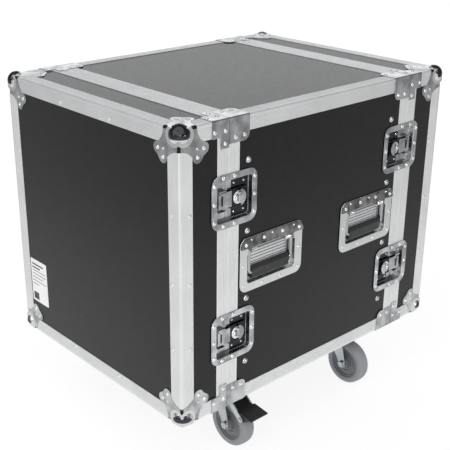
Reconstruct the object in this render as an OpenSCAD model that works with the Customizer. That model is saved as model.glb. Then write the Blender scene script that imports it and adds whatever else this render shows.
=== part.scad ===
// Equipment rack case on castors: a plywood shell with aluminium edges, open at both ends,
// closed by two lift-off covers that are held by recessed twist latches.
// Millimetres. +Z up, the front cover faces -Y, the origin is on the floor under the middle.

/* [Case] */
// Rack height in units of 44.45 mm
rack_units = 12; // [10:1:16]
// Width over the edge extrusions
case_w = 544; // [540:1:600]
// Depth over the edge extrusions with both covers on
case_d = 726; // [700:1:900]
// Depth of each lift-off cover
cover_d = 112; // [110:1:140]
// Thickness of the laminated plywood
panel_t = 9; // [9:0.5:12]

/* [Extrusions] */
// Leg of the double-angle edge extrusion
edge_leg = 30; // [28:1:32]
// Width of the closing extrusion on each side of a seam
rim_w = 26; // [24:1:28]
// Wall of every extrusion
skin = 1.5; // [1.2:0.1:1.8]
// How far the tongue of the body reaches into the groove of a cover
tongue_h = 6; // [4:0.5:6.5]

/* [Latches] */
// Height of the latches above and below the middle of the case
latch_z = 136.5; // [116:0.5:160]
// Distance from the seam to the latch's turning axis
hub_u = 27.5; // [26:0.5:29]
// How far a half turn drives the hook
hook_travel = 6; // [4:0.5:6]

/* [Handles] */
// Distance of each handle from the middle of the depth
handle_y = 139; // [125:1:180]
// Diameter of the bail's rod
bail_d = 8; // [6:0.5:8]

/* [Castors] */
// Height of the case's underside above the floor
castor_h = 140; // [138:1:160]
// Wheel diameter
wheel_d = 100; // [75:1:100]
// Wheel width
wheel_w = 32; // [26:1:32]
// Distance from the swivel axis to the axle
castor_trail = 36; // [30:1:40]

/* [Rack rails] */
// Distance of the rail's face behind the seam
rail_inset = 25; // [15:1:40]
// Width of the rail's leg against the side panel
rail_leg = 40; // [36:1:44]

/* [Hidden] */
SIDES = [["left", -1], ["right", 1]];
ENDS = [["front", -1], ["rear", 1]];
LEVELS = [["lower", -1], ["upper", 1]];
SPOTS = [for (e = ENDS) for (s = SIDES) [str(e[0], "_", s[0]), e[1], s[1]]];
LATCH_SPOTS = [for (p = SPOTS) for (l = LEVELS) [str(p[0], "_", l[0]), p[1], p[2], l[1]]];
COVER_PARTS = ["panels", "extrusions", "corners", "keepers", "foam"];

BODY_NODES = ["left_panel", "right_panel", "top_panel", "bottom_panel", "edge_extrusions",
    "rim_extrusions", "rim_braces", "rack_rails", "rail_bolts", "handle_dishes",
    "latch_dishes", "castor_plates"];
$fn = 48;

rack_unit = 44.45;
hw = case_w / 2;
hd = case_d / 2;
hh = (rack_units * rack_unit + 39.6) / 2;
seam = hd - cover_d;
mid_z = castor_h + hh;
inset = skin + panel_t;

// Recessed dishes: pressed sheet with a flange on the outside of the case
sheet = 1.2;
dish_floor = inset - sheet;
gap = 0.3;
latch_dish_h = 102;
latch_dish_out = 69;
latch_dish_in = 40;
latch_dish_r = 20;
latch_open_h = 76;
latch_open_out = 57;
latch_open_in = 27;
handle_dish = [165, 110];
handle_dish_z = -1.5;
handle_open = [127, 71];
handle_open_z = -4;

// Groove in the covers and tongue on the body, measured in from the envelope
groove = [4.4, 7.6];
tongue = [4.8, 7.2];
groove_h = 7;
rim_block = 9;

// Ball corners
ball_r = 19;
ball_in = 13;
leaf_t = 1.8;
rail_end = 40;
lobe = [55, 41];
lobe_r = 11;

// Rail bolts and the holes for them, above and below the middle
bolt_zs = [-206, -70.5, 66, 202];
bolt_inset = 49;
bolt_r = 3;
bolt_hole_r = 3.2;
rack_hole_r = 2.5;
rack_hole_x = 232.55;
rack_face_x = 226;
rack_hole_steps = [6.35, 22.225, 38.1];

// Latch mechanism, heights measured out from the side of the case
hub_floor_w = -dish_floor + gap;
hub_disc_w = [-4.5, -3.4];
hub_disc_r = 12.5;
cam_r = 8;
cam_off = hook_travel / 2;
cam_play = 0.8;
stud_r = 2.5;
run_fit = 0.05;
hook_w = [-6.4, -4.8];
hook_half = 15;
wing_axis_w = -1.3;
wing_r = 16;
wing_t = 2.2;
pin_r = 1.2;

// Handle bail
bail_z = 24;
bail_w = -4.6;
arm_x = 56;
bail_drop = 46;
stub_r = 3;

// Castor
castor_x = hw - 87;
castor_front_y = -seam + 66;
castor_rear_y = seam - 75;
axle_z = wheel_d / 2;
axle_r = 5;
kingpin_r = 6;
plate = [80, 78, 3];
fork_in = wheel_w / 2 + 2.5;
fork_t = 3;
fork_top = castor_h - 8.4;
pedal_axis = [78, 84];
pedal_pin_r = 3;

module envelope() translate([0, 0, mid_z]) children();

// Puts a piece drawn for the front right upper part of the case at any of its eight mirror images
module place(end = -1, side = 1, level = 1)
    envelope() mirror([side < 0 ? 1 : 0, 0, 0]) mirror([0, end > 0 ? 1 : 0, 0])
        mirror([0, 0, level < 0 ? 1 : 0]) children();

// Turns a piece drawn flat, with Z out of the case, onto the right side of the case
module on_side(y, z) translate([hw, y, z]) rotate([90, 0, 90]) children();

module block(lo, hi) translate(lo) cube(hi - lo);

// A plate or hole with chosen corners rounded: r gives the radius at each end of X
module round_plate(lo, hi, r_lo, r_hi) {
    difference() {
        translate(lo) square(hi - lo);
        for (y = [lo[1], hi[1]]) {
            if (r_lo > 0) corner_waste([lo[0], y], [1, y == lo[1] ? 1 : -1], r_lo);
            if (r_hi > 0) corner_waste([hi[0], y], [-1, y == lo[1] ? 1 : -1], r_hi);
        }
    }
}

module corner_waste(at, dir, r) {
    translate(at) scale([dir[0], dir[1]]) difference() {
        translate([-1, -1]) square(r + 1);
        translate([r, r]) circle(r);
    }
}

// ---- Extrusions ----

// Double angle with its outer corner at the origin and its legs towards -X and -Y
module edge_profile() {
    corner_r = 3;
    difference() {
        union() {
            translate([-edge_leg, -skin]) square([edge_leg - corner_r, skin]);
            translate([-skin, -edge_leg]) square([skin, edge_leg - corner_r]);
            translate([-corner_r, -corner_r]) circle(corner_r);
        }
        translate([-edge_leg - 1, -edge_leg - 1]) square(edge_leg + 1 - skin);
    }
}

module edge_along_y(y0, y1)
    translate([hw, y1, hh]) rotate([90, 0, 0]) linear_extrude(y1 - y0) edge_profile();

module edge_along_x(len)
    translate([-len / 2, -hd, hh]) rotate([90, 0, 90]) mirror([1, 0, 0])
        linear_extrude(len) edge_profile();

module edge_along_z(len)
    translate([hw, -hd, -len / 2]) mirror([0, 1, 0]) linear_extrude(len) edge_profile();

// Four straight bars round the case between two insets from the envelope, from y0 to y1
module bars(from, to, y0, y1) {
    joint = 0.2;
    for (side = [-1, 1]) {
        mirror([side < 0 ? 1 : 0, 0, 0])
            block([hw - to, y0, -hh + from], [hw - from, y1, hh - from]);
        mirror([0, 0, side < 0 ? 1 : 0])
            block([-hw + inset + joint, y0, hh - to], [hw - inset - joint, y1, hh - from]);
    }
}

module rim_strips(y0, y1) {
    for (side = [-1, 1]) {
        mirror([side < 0 ? 1 : 0, 0, 0])
            block([hw - skin, y0, -hh + edge_leg], [hw, y1, hh - edge_leg]);
        mirror([0, 0, side < 0 ? 1 : 0])
            block([-hw + edge_leg, y0, hh - skin], [hw - edge_leg, y1, hh]);
    }
}

// The openings that the four latches of one end need in panels and rims
module latch_cuts() {
    slack = sheet + 0.4;
    for (side = [-1, 1]) for (level = [-1, 1])
        mirror([side < 0 ? 1 : 0, 0, 0]) mirror([0, 0, level < 0 ? 1 : 0])
            block([hw - inset - 1, -seam - latch_open_in - slack, latch_z - latch_open_h / 2 - slack],
                [hw + 1, -seam + latch_open_out + slack, latch_z + latch_open_h / 2 + slack]);
}

module edge_extrusions() color("gainsboro")
    for (side = [-1, 1]) for (level = [-1, 1])
        place(-1, side, level) edge_along_y(-seam, seam);

module rim_extrusions() color("gainsboro")
    for (end = [-1, 1]) place(end) difference() {
        union() {
            rim_strips(-seam, -seam + rim_w);
            bars(skin, inset, -seam, -seam + skin);
            bars(tongue[0], tongue[1], -seam - tongue_h, -seam);
        }
        latch_cuts();
    }

module cover_extrusions(end) color("gainsboro") {
    for (side = [-1, 1]) for (level = [-1, 1])
        place(end, side, level) edge_along_y(-hd + rail_end, -seam);
    for (level = [-1, 1]) place(end, 1, level) edge_along_x(case_w - 2 * rail_end);
    for (side = [-1, 1]) place(end, side) edge_along_z(2 * hh - 2 * rail_end);
    place(end) difference() {
        union() {
            rim_strips(-seam - rim_w, -seam);
            difference() {
                bars(skin, inset, -seam - rim_block, -seam);
                bars(groove[0], groove[1], -seam - groove_h, -seam + 1);
            }
        }
        latch_cuts();
    }
}

// ---- Panels ----

module side_panel(side) color([0.13, 0.13, 0.14]) place(-1, side) difference() {
    block([hw - inset, -seam + skin, -hh + skin], [hw - skin, seam - skin, hh - skin]);
    for (end = [-1, 1]) mirror([0, end > 0 ? 1 : 0, 0]) {
        latch_cuts();
        on_side(-handle_y, 0) handle_cut();
        for (z = bolt_zs) translate([hw - inset - 1, -seam + bolt_inset, z]) rotate([0, 90, 0])
            cylinder(r = bolt_hole_r, h = inset + 2);
    }
}

module handle_cut() {
    slack = sheet + 0.4;
    translate([-handle_open[0] / 2 - slack, handle_open_z - handle_open[1] / 2 - slack, -inset - 1])
        cube([handle_open[0] + 2 * slack, handle_open[1] + 2 * slack, inset + 3]);
}

module lid_panel(level) color([0.16, 0.16, 0.17]) place(-1, 1, level)
    block([-hw + inset, -seam + skin, hh - inset], [hw - inset, seam - skin, hh - skin]);

module cover_panels(end) color([0.13, 0.13, 0.14]) {
    back = -seam - rim_block;
    face = -hd + inset;
    place(end) block([-hw + skin, -hd + skin, -hh + skin], [hw - skin, face, hh - skin]);
    for (side = [-1, 1]) place(end, side) difference() {
        block([hw - inset, face, -hh + skin], [hw - skin, back, hh - skin]);
        latch_cuts();
    }
    for (level = [-1, 1]) place(end, 1, level)
        block([-hw + inset, face, hh - inset], [hw - inset, back, hh - skin]);
}

module cover_foam(end) color([0.2, 0.2, 0.2]) {
    foam_t = 10;
    margin = 4;
    place(end) block([-hw + inset + margin, -hd + inset, -hh + inset + margin],
        [hw - inset - margin, -hd + inset + foam_t, hh - inset - margin]);
}

// ---- Corner hardware ----

module leaf() difference() {
    union() {
        square(37);
        polygon([[30, 10], [64, 30], [66, 42], [42, 66], [30, 64], [10, 30]]);
        translate(lobe) circle(lobe_r);
        translate([lobe[1], lobe[0]]) circle(lobe_r);
    }
    translate([rail_end - gap, -1]) square([lobe[0], edge_leg + 1 + gap]);
    translate([-1, rail_end - gap]) square([edge_leg + 1 + gap, lobe[0]]);
}

// Ball corner on the front right upper corner: a dome and one leaf on each face
module ball_corner() {
    difference() {
        translate([hw - ball_in, -hd + ball_in, hh - ball_in]) sphere(ball_r);
        block([0, -hd + skin, 0], [hw - skin, 0, hh - skin]);
    }
    translate([hw, -hd, hh]) {
        rotate([90, 0, 90]) mirror([0, 1, 0]) leaf_plate();
        rotate([90, 0, 0]) mirror([1, 0, 0]) mirror([0, 1, 0]) leaf_plate();
        mirror([1, 0, 0]) leaf_plate();
    }
}

module leaf_plate() translate([0, 0, -skin]) linear_extrude(leaf_t) leaf();

// Sheet plate drawn on the side face, repeated on the top face and joined round the edge
module wrapped_brace(u0, u1) {
    translate([hw, -seam, hh]) {
        rotate([90, 0, 90]) linear_extrude(sheet) children();
        rotate([0, 0, 90]) linear_extrude(sheet) mirror([0, 1, 0]) children();
    }
    block([hw, -seam + u0, hh], [hw + sheet, -seam + u1, hh + sheet]);
}

module body_brace() {
    size = [48, 46];
    wrapped_brace(gap, size[0]) difference() {
        translate([gap, -size[1]]) square([size[0] - gap, size[1]]);
        corner_waste([size[0], -size[1]], [-1, 1], 14);
    }
}

module cover_brace() {
    arm = [39, 31];
    leg = [20, 52];
    wrapped_brace(-arm[0], -gap) for (size = [arm, leg])
        translate([-size[0], -size[1]]) square([size[0] - gap, size[1]]);
}

module rim_braces() color("silver")
    for (p = SPOTS) for (level = [-1, 1]) place(p[1], p[2], level) body_brace();

module cover_corners(end) color("silver")
    for (side = [-1, 1]) for (level = [-1, 1]) place(end, side, level) {
        ball_corner();
        cover_brace();
    }

// ---- Rack rails ----

module rack_rail() {
    rail_t = 2;
    face_y = -seam + rail_inset;
    rail_h = rack_units * rack_unit;
    difference() {
        union() {
            block([rack_face_x, face_y, -rail_h / 2], [hw - inset, face_y + rail_t, rail_h / 2]);
            block([hw - inset - rail_t, face_y, -rail_h / 2],
                [hw - inset, face_y + rail_leg, rail_h / 2]);
        }
        for (u = [0:rack_units - 1]) for (step = rack_hole_steps)
            translate([rack_hole_x, face_y - 1, -rail_h / 2 + u * rack_unit + step])
                rotate([-90, 0, 0]) cylinder(r = rack_hole_r, h = rail_t + 2);
        for (z = bolt_zs) translate([hw - inset - rail_t - 1, -seam + bolt_inset, z])
            rotate([0, 90, 0]) cylinder(r = bolt_hole_r, h = rail_t + 2);
    }
}

module rack_rails() color([0.1, 0.1, 0.1]) for (p = SPOTS) place(p[1], p[2]) rack_rail();

module rail_bolt() {
    head_r = 6.5;
    head_h = 3.5;
    dome_r = (head_r * head_r + head_h * head_h) / (2 * head_h);
    rotate([0, 90, 0]) {
        translate([0, 0, -skin - 18]) cylinder(r = bolt_r, h = 18 + 1);
        intersection() {
            translate([0, 0, -skin + head_h - dome_r]) sphere(dome_r);
            translate([0, 0, -skin]) cylinder(r = head_r, h = head_h + 1);
        }
        translate([0, 0, -inset - 2 - 5]) cylinder(r = 5.8, h = 5, $fn = 6);
    }
}

module rail_bolts() color("silver")
    for (p = SPOTS) place(p[1], p[2])
        for (z = bolt_zs) translate([hw, -seam + bolt_inset, z]) rail_bolt();

// ---- Recessed handles ----

module dish_recess(lo, hi, r) translate([0, 0, -dish_floor]) linear_extrude(dish_floor + 5)
    round_plate(lo, hi, r, r);

module handle_dish() {
    half = handle_dish / 2;
    middle = [0, handle_dish_z];
    lo = [-handle_open[0] / 2, handle_open_z - handle_open[1] / 2];
    hi = [handle_open[0] / 2, handle_open_z + handle_open[1] / 2];
    wall = [sheet, sheet];
    lug = 3;
    difference() {
        union() {
            linear_extrude(sheet) round_plate(middle - half, middle + half, 18, 18);
            translate([0, 0, -inset]) linear_extrude(inset) round_plate(lo - wall, hi + wall, 7, 7);
        }
        dish_recess(lo, hi, 6);
    }
    for (side = [-1, 1]) difference() {
        block([side < 0 ? lo[0] - 1 : hi[0] - lug, bail_z - 7, -dish_floor - 0.5],
            [side < 0 ? lo[0] + lug : hi[0] + 1, hi[1] + 0.5, -0.3]);
        translate([side * hi[0], bail_z, bail_w]) rotate([0, 90, 0])
            cylinder(r = stub_r + run_fit, h = 3 * lug, center = true);
    }
}

module handle_dishes() color("lightgray")
    for (p = SPOTS) place(p[1], p[2]) on_side(-handle_y, 0) handle_dish();

module bail_elbow() rotate_extrude(angle = 90) translate([bail_d, 0]) circle(d = bail_d);

module handle(spot) {
    r = bail_d / 2;
    low_z = bail_z - bail_drop;
    place(spot[1], spot[2]) on_side(-handle_y, 0) {
        color("silver") for (side = [-1, 1]) mirror([side < 0 ? 1 : 0, 0, 0]) {
            translate([arm_x, low_z + bail_d, bail_w]) rotate([-90, 0, 0])
                cylinder(r = r, h = bail_drop - bail_d);
            translate([arm_x, bail_z, bail_w]) sphere(r);
            translate([arm_x - 14, bail_z, bail_w]) rotate([0, 90, 0])
                cylinder(r = stub_r, h = 14 + 7);
            translate([arm_x - bail_d, low_z + bail_d, bail_w]) rotate([0, 0, -90]) bail_elbow();
            translate([0, low_z, bail_w]) rotate([0, 90, 0]) cylinder(r = r, h = arm_x - bail_d);
        }
        color([0.08, 0.08, 0.08]) translate([-46, low_z, bail_w]) rotate([90, 0, 90])
            linear_extrude(92) grip_section();
    }
}

module grip_section() {
    grip_h = 26;
    grip_t = 8.6;
    square([grip_h - grip_t, grip_t], center = true);
    for (side = [-1, 1]) translate([side * (grip_h - grip_t) / 2, 0]) circle(d = grip_t);
}

// ---- Latches ----

// Body half: tray, turning stud and the two ribs that guide the hook
module latch_dish() {
    open_r = 6;
    half = latch_open_h / 2;
    difference() {
        union() {
            linear_extrude(sheet) round_plate([gap, -latch_dish_h / 2],
                [latch_dish_out, latch_dish_h / 2], 0, latch_dish_r);
            translate([0, 0, -inset]) linear_extrude(inset)
                round_plate([gap, -half - sheet], [latch_open_out + sheet, half + sheet], 0, open_r + 1);
        }
        translate([0, 0, -dish_floor]) linear_extrude(dish_floor + 5)
            round_plate([-5, -half], [latch_open_out, half], 0, open_r);
    }
    translate([hub_u, 0, -dish_floor - 0.5]) cylinder(r = stud_r, h = 4.5);
    for (side = [-1, 1]) mirror([0, side < 0 ? 1 : 0, 0])
        block([8, hook_half + gap, -dish_floor - 0.5], [50, hook_half + gap + 2.5, -4.7]);
}

// Cover half: tray with the raised lip that the hook reaches over
module latch_keeper() {
    open_r = 6;
    half = latch_open_h / 2;
    difference() {
        union() {
            linear_extrude(sheet) round_plate([-latch_dish_in, -latch_dish_h / 2],
                [-gap, latch_dish_h / 2], latch_dish_r, 0);
            translate([0, 0, -inset]) linear_extrude(inset)
                round_plate([-latch_open_in - sheet, -half - sheet], [-gap, half + sheet], open_r + 1, 0);
        }
        translate([0, 0, -dish_floor]) linear_extrude(dish_floor + 5)
            round_plate([-latch_open_in, -half], [5, half], open_r, 0);
    }
    block([-16, -17, -dish_floor - 0.5], [-12, 17, hook_w[0] - 0.4]);
    for (side = [-1, 1]) mirror([0, side < 0 ? 1 : 0, 0])
        block([-20, 18, -dish_floor - 0.5], [-4, 20.5, -1]);
}

// Disc with an off-centre cam under it and two lugs that hold the wing's pin
module latch_hub() {
    difference() {
        union() {
            translate([0, 0, hub_disc_w[0]]) cylinder(r = hub_disc_r, h = hub_disc_w[1] - hub_disc_w[0]);
            translate([cam_off, 0, hub_floor_w]) cylinder(r = cam_r, h = hub_disc_w[0] - hub_floor_w + 0.1);
            for (side = [-1, 1]) mirror([0, side < 0 ? 1 : 0, 0])
                block([-2.2, 7, hub_disc_w[1] - 0.1], [2.2, 9.5, 0.5]);
            translate([0, -8, wing_axis_w]) rotate([-90, 0, 0]) cylinder(r = pin_r, h = 16);
        }
        translate([0, 0, hub_floor_w - 1]) cylinder(r = stud_r + run_fit, h = 5.2);
    }
}

// Half-moon grip on a knuckle, lying flat over the hub at rest
module latch_wing() {
    knuckle_r = 1.8;
    knuckle_half = 6.6;
    difference() {
        union() {
            translate([0, -knuckle_half, wing_axis_w]) rotate([-90, 0, 0])
                cylinder(r = knuckle_r, h = 2 * knuckle_half);
            translate([0, 0, wing_axis_w - wing_t / 2]) linear_extrude(wing_t) {
                translate([0, -knuckle_half]) square([4, 2 * knuckle_half]);
                intersection() {
                    circle(wing_r);
                    translate([3.4, -wing_r]) square([wing_r, 2 * wing_r]);
                }
            }
        }
        translate([0, -knuckle_half - 1, wing_axis_w]) rotate([-90, 0, 0])
            cylinder(r = pin_r + run_fit, h = 2 * knuckle_half + 2);
    }
}

// Sliding plate with a window for the cam and a turned-down tip over the keeper's lip
module latch_hook() {
    window = cam_r + cam_play;
    plate_end = 43;
    difference() {
        translate([-20, -hook_half, hook_w[0]])
            cube([20 + plate_end, 2 * hook_half, hook_w[1] - hook_w[0]]);
        block([hub_u + cam_off - window, -window - cam_off, hook_w[0] - 1],
            [hub_u + cam_off + window, window + cam_off, hook_w[1] + 1]);
    }
    block([-20, -13, hook_w[1] - 0.1], [-14, 13, -3.2]);
}

module at_latch(spot) place(spot[1], spot[2], spot[3]) on_side(-seam, latch_z) children();

module latch_dishes() color("lightgray") for (l = LATCH_SPOTS) at_latch(l) latch_dish();

module cover_keepers(end) color("lightgray")
    for (l = LATCH_SPOTS) if (l[1] == end) at_latch(l) latch_keeper();

// ---- Castors ----

module at_castor(spot) mirror([spot[2] < 0 ? 1 : 0, 0, 0])
    translate([castor_x, spot[1] < 0 ? castor_front_y : castor_rear_y, 0]) children();

// Mounting plate, upper race, kingpin and the four bolts
module castor_plate() {
    top = castor_h + skin;
    half = [plate[0] / 2, plate[1] / 2];
    hole = [32, 31];
    translate([0, 0, top - plate[2]]) linear_extrude(plate[2]) round_plate(-half, half, 8, 8);
    translate([0, 0, fork_top + 0.4]) cylinder(r = 27, h = top - plate[2] - fork_top - 0.4);
    translate([0, 0, fork_top - 12]) cylinder(r = kingpin_r, h = 14);
    translate([0, 0, fork_top - 12]) cylinder(r = 11, h = 6, $fn = 6);
    for (x = [-hole[0], hole[0]]) for (y = [-hole[1], hole[1]])
        translate([x, y, top - plate[2] - 5]) cylinder(r = 6.5, h = 5.5, $fn = 6);
}

module castor_plates() color("silver") for (p = SPOTS) at_castor(p) castor_plate();

module fork_leg(braked) {
    polygon([[-24, fork_top], [30, fork_top], [34, 96], [castor_trail + 9, axle_z],
        [castor_trail - 9, axle_z]]);
    translate([castor_trail, axle_z]) circle(9);
    if (braked) {
        polygon([[10, fork_top], [30, fork_top], [pedal_axis[0] + 6, pedal_axis[1] + 4],
            [pedal_axis[0] - 2, pedal_axis[1] - 6]]);
        translate(pedal_axis) circle(7);
    }
}

module castor_fork(spot) color("silver") at_castor(spot) {
    braked = spot[1] < 0;
    crown_t = 4.6;
    difference() {
        union() {
            translate([0, 0, fork_top - crown_t]) cylinder(r = 29, h = crown_t);
            block([-24, -fork_in - fork_t, fork_top - crown_t], [30, fork_in + fork_t, fork_top]);
        }
        translate([0, 0, fork_top - crown_t - 1]) cylinder(r = kingpin_r + run_fit, h = crown_t + 2);
    }
    for (side = [-1, 1]) mirror([0, side < 0 ? 1 : 0, 0]) {
        translate([0, fork_in + fork_t, 0]) rotate([90, 0, 0]) linear_extrude(fork_t) fork_leg(braked);
        translate([castor_trail, fork_in + fork_t, axle_z]) rotate([-90, 0, 0])
            cylinder(r = 8, h = 5, $fn = 6);
    }
    translate([castor_trail, 0, axle_z]) rotate([90, 0, 0])
        cylinder(r = axle_r, h = 2 * (fork_in + fork_t), center = true);
    if (braked) translate([pedal_axis[0], 0, pedal_axis[1]]) rotate([90, 0, 0])
        cylinder(r = pedal_pin_r, h = 2 * (fork_in + fork_t) + 5, center = true);
}

module castor_wheel(spot) {
    r = wheel_d / 2;
    half = wheel_w / 2;
    hub_half = fork_in - gap;
    bore = axle_r + run_fit;
    color("slategray") at_castor(spot) translate([castor_trail, 0, axle_z]) rotate([90, 0, 0])
        rotate_extrude() polygon([[bore, -hub_half], [13, -hub_half], [14, -half + 5], [36, -half + 5],
            [37, -half + 1], [44, -half], [r - 2, -half + 3], [r, -half + 8], [r, half - 8],
            [r - 2, half - 3], [44, half], [37, half - 1], [36, half - 5], [14, half - 5],
            [13, hub_half], [bore, hub_half]]);
}

// Treadle: a nearly level plate, narrow between the fork's arms and wide above their ends, with
// two cheeks that turn on the fork's pin
module brake_pedal(spot) color([0.07, 0.07, 0.07]) at_castor(spot) {
    plate_t = 3;
    cheek_t = 1.6;
    cheek_out = fork_in - gap;
    tread_half = 23.5;
    inner = [48, castor_h - 36];
    tread_x = 74;
    outer = [112, castor_h - 43];
    slope = (outer[1] - inner[1]) / (outer[0] - inner[0]);
    tread = [tread_x, inner[1] + slope * (tread_x - inner[0])];
    down = [0, -plate_t];
    rotate([90, 0, 0]) {
        linear_extrude(2 * cheek_out, center = true)
            polygon([inner, outer, outer + down, inner + down]);
        linear_extrude(2 * tread_half, center = true)
            polygon([tread, outer, outer + down, tread + down]);
    }
    for (side = [-1, 1]) mirror([0, side < 0 ? 1 : 0, 0])
        translate([0, cheek_out, 0]) rotate([90, 0, 0]) linear_extrude(cheek_t) difference() {
            union() {
                polygon([[64, inner[1] - 4], outer - [4, 1], [92, 82], [pedal_axis[0], pedal_axis[1] - 8],
                    [72, pedal_axis[1]]]);
                translate(pedal_axis) circle(8);
            }
            translate(pedal_axis) circle(pedal_pin_r + run_fit);
        }
}

side_panel(-1);  // left_panel
side_panel(1);  // right_panel
lid_panel(1);  // top_panel
lid_panel(-1);  // bottom_panel
edge_extrusions();
rim_extrusions();
rim_braces();
rack_rails();
rail_bolts();
handle_dishes();
latch_dishes();
castor_plates();
for (e = ENDS) {
    cover_panels(e[1]);
    cover_extrusions(e[1]);
    cover_corners(e[1]);
    cover_keepers(e[1]);
    cover_foam(e[1]);
}
for (p = SPOTS) {
    handle(p);
    castor_fork(p);
    castor_wheel(p);
}
for (s = SIDES)
    brake_pedal(["front", -1, s[1]]);
for (l = LATCH_SPOTS) {
    color("silver") at_latch(l)
        translate([hub_u, 0, 0]) latch_hub();
    color("white") at_latch(l)
        translate([hub_u, 0, 0]) latch_wing();
    color("gray") at_latch(l) latch_hook();
}
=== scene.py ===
"""Looks for the equipment rack case: pressed and plated hardware, ribbed extrusions, laminate, castors."""
import math

import bmesh
import bpy
from mathutils import Matrix, Vector


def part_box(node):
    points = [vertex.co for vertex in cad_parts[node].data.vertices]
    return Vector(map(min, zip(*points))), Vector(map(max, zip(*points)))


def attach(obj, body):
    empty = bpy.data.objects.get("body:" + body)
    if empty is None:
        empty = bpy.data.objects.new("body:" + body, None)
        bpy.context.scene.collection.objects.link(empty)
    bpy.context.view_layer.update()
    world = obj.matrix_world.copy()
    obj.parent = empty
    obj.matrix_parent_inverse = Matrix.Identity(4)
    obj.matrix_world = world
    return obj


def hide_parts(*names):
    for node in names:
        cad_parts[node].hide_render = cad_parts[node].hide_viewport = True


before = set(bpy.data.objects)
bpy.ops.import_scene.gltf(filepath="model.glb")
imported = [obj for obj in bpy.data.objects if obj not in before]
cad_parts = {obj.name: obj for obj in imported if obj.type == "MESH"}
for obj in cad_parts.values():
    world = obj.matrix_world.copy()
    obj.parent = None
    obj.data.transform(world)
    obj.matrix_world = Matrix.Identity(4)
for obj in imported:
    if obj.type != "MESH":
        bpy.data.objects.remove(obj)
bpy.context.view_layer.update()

MM = 0.001


def corners_of(node):
    """The low and high corner of a node's box, in millimetres."""
    return [Vector(corner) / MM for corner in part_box(node)]


def middle_of(node, axis):
    """The middle of a node's box along one axis, in millimetres."""
    low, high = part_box(node)
    return (low[axis] + high[axis]) / 2 / MM


# ---- Dimensions taken from the frame, in millimetres ----
EDGE_LO, EDGE_HI = corners_of("edge_extrusions")
HALF_W = EDGE_HI.x
SEAM = EDGE_HI.y
HALF_H = (EDGE_HI.z - EDGE_LO.z) / 2
MID_Z = (EDGE_HI.z + EDGE_LO.z) / 2
HALF_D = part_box("rear_cover_extrusions")[1][1] / MM
LATCH_Z = middle_of("latch_hub_front_right_upper", 2) - MID_Z
HANDLE_Y = middle_of("handle_front_right", 1)

# ---- Dimensions that several pieces share, in millimetres ----
SKIN = 1.5            # wall of the extrusions
PANEL_T = 9.0
INSET = SKIN + PANEL_T
EDGE_LEG = 30.0       # leg of the edge extrusions
RIM_W = 26.0          # width of the extrusions round the seam
RAIL_END = 40.0       # from a cover's corner to the end of its rails
SHEET = 1.2           # pressed steel of dishes and braces
DISH_FLOOR = INSET - SHEET
LATCH_OPEN = 38.0     # half the height of a latch's opening

ENDS = {"front": -1, "rear": 1}
SIDES = {"left": -1, "right": 1}
LEVELS = {"lower": -1, "upper": 1}
SPOTS = [(f"{e}_{s}", ENDS[e], SIDES[s]) for e in ENDS for s in SIDES]
OCTANTS = [(e, s, v) for e in (-1, 1) for s in (-1, 1) for v in (-1, 1)]


# ---- Places: matrices in millimetres ----
def place(end=-1, side=1, level=1):
    """Takes a piece drawn for the front right upper part to any of its mirror images."""
    return Matrix.Translation((0, 0, MID_Z)) @ Matrix.Diagonal((side, -end, level, 1))


def on_side(y, z, out=0.0):
    """Local Z points out of the right side, local X runs along +Y."""
    return Matrix(((0, 0, 1, HALF_W + out), (1, 0, 0, y), (0, 1, 0, z), (0, 0, 0, 1)))


def on_top(x, y, out=0.0):
    """Local Z points up out of the top face."""
    return Matrix.Translation((x, y, HALF_H + out))


def on_front(x, z, out=0.0):
    """Local Z points out of the front face."""
    return Matrix(((1, 0, 0, x), (0, 0, -1, -HALF_D - out), (0, 1, 0, z), (0, 0, 0, 1)))


# ---- Mesh building, in millimetres ----
def loft(loops):
    """Bridges rings of equal length and closes the first and the last."""
    bm = bmesh.new()
    rings = [[bm.verts.new(p) for p in loop] for loop in loops]
    count = len(rings[0])
    for low, high in zip(rings, rings[1:]):
        for i in range(count):
            j = (i + 1) % count
            bm.faces.new((low[i], low[j], high[j], high[i]))
    bm.faces.new(list(reversed(rings[0])))
    bm.faces.new(rings[-1])
    return bm


def turns(steps):
    """The angles of a full turn in equal steps."""
    return [2 * math.pi * i / steps for i in range(steps)]


def arc(cx, cy, r, a0, a1, steps):
    """Points round a centre from angle a0 to a1, in degrees."""
    angles = [math.radians(a0 + (a1 - a0) * i / steps) for i in range(steps + 1)]
    return [(cx + r * math.cos(a), cy + r * math.sin(a)) for a in angles]


def rounded_rect(x0, x1, y0, y1, r, grow=0.0):
    """Counter-clockwise outline, grown outwards by grow, with corner radius r before growing."""
    steps = 6
    x0, x1, y0, y1, r = x0 - grow, x1 + grow, y0 - grow, y1 + grow, max(r + grow, 0.05)
    return (arc(x1 - r, y0 + r, r, -90, 0, steps) + arc(x1 - r, y1 - r, r, 0, 90, steps)
            + arc(x0 + r, y1 - r, r, 90, 180, steps) + arc(x0 + r, y0 + r, r, 180, 270, steps))


def at_height(outline, z):
    return [(x, y, z) for x, y in outline]


def prism(outline, z0, z1, bevel=0.0):
    bm = loft([at_height(outline, z0), at_height(outline, z1)])
    if bevel:
        bevel_sharp(bm, bevel)
    return bm


def box(lo, hi, bevel=0.0):
    outline = [(lo[0], lo[1]), (hi[0], lo[1]), (hi[0], hi[1]), (lo[0], hi[1])]
    return prism(outline, lo[2], hi[2], bevel)


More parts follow.
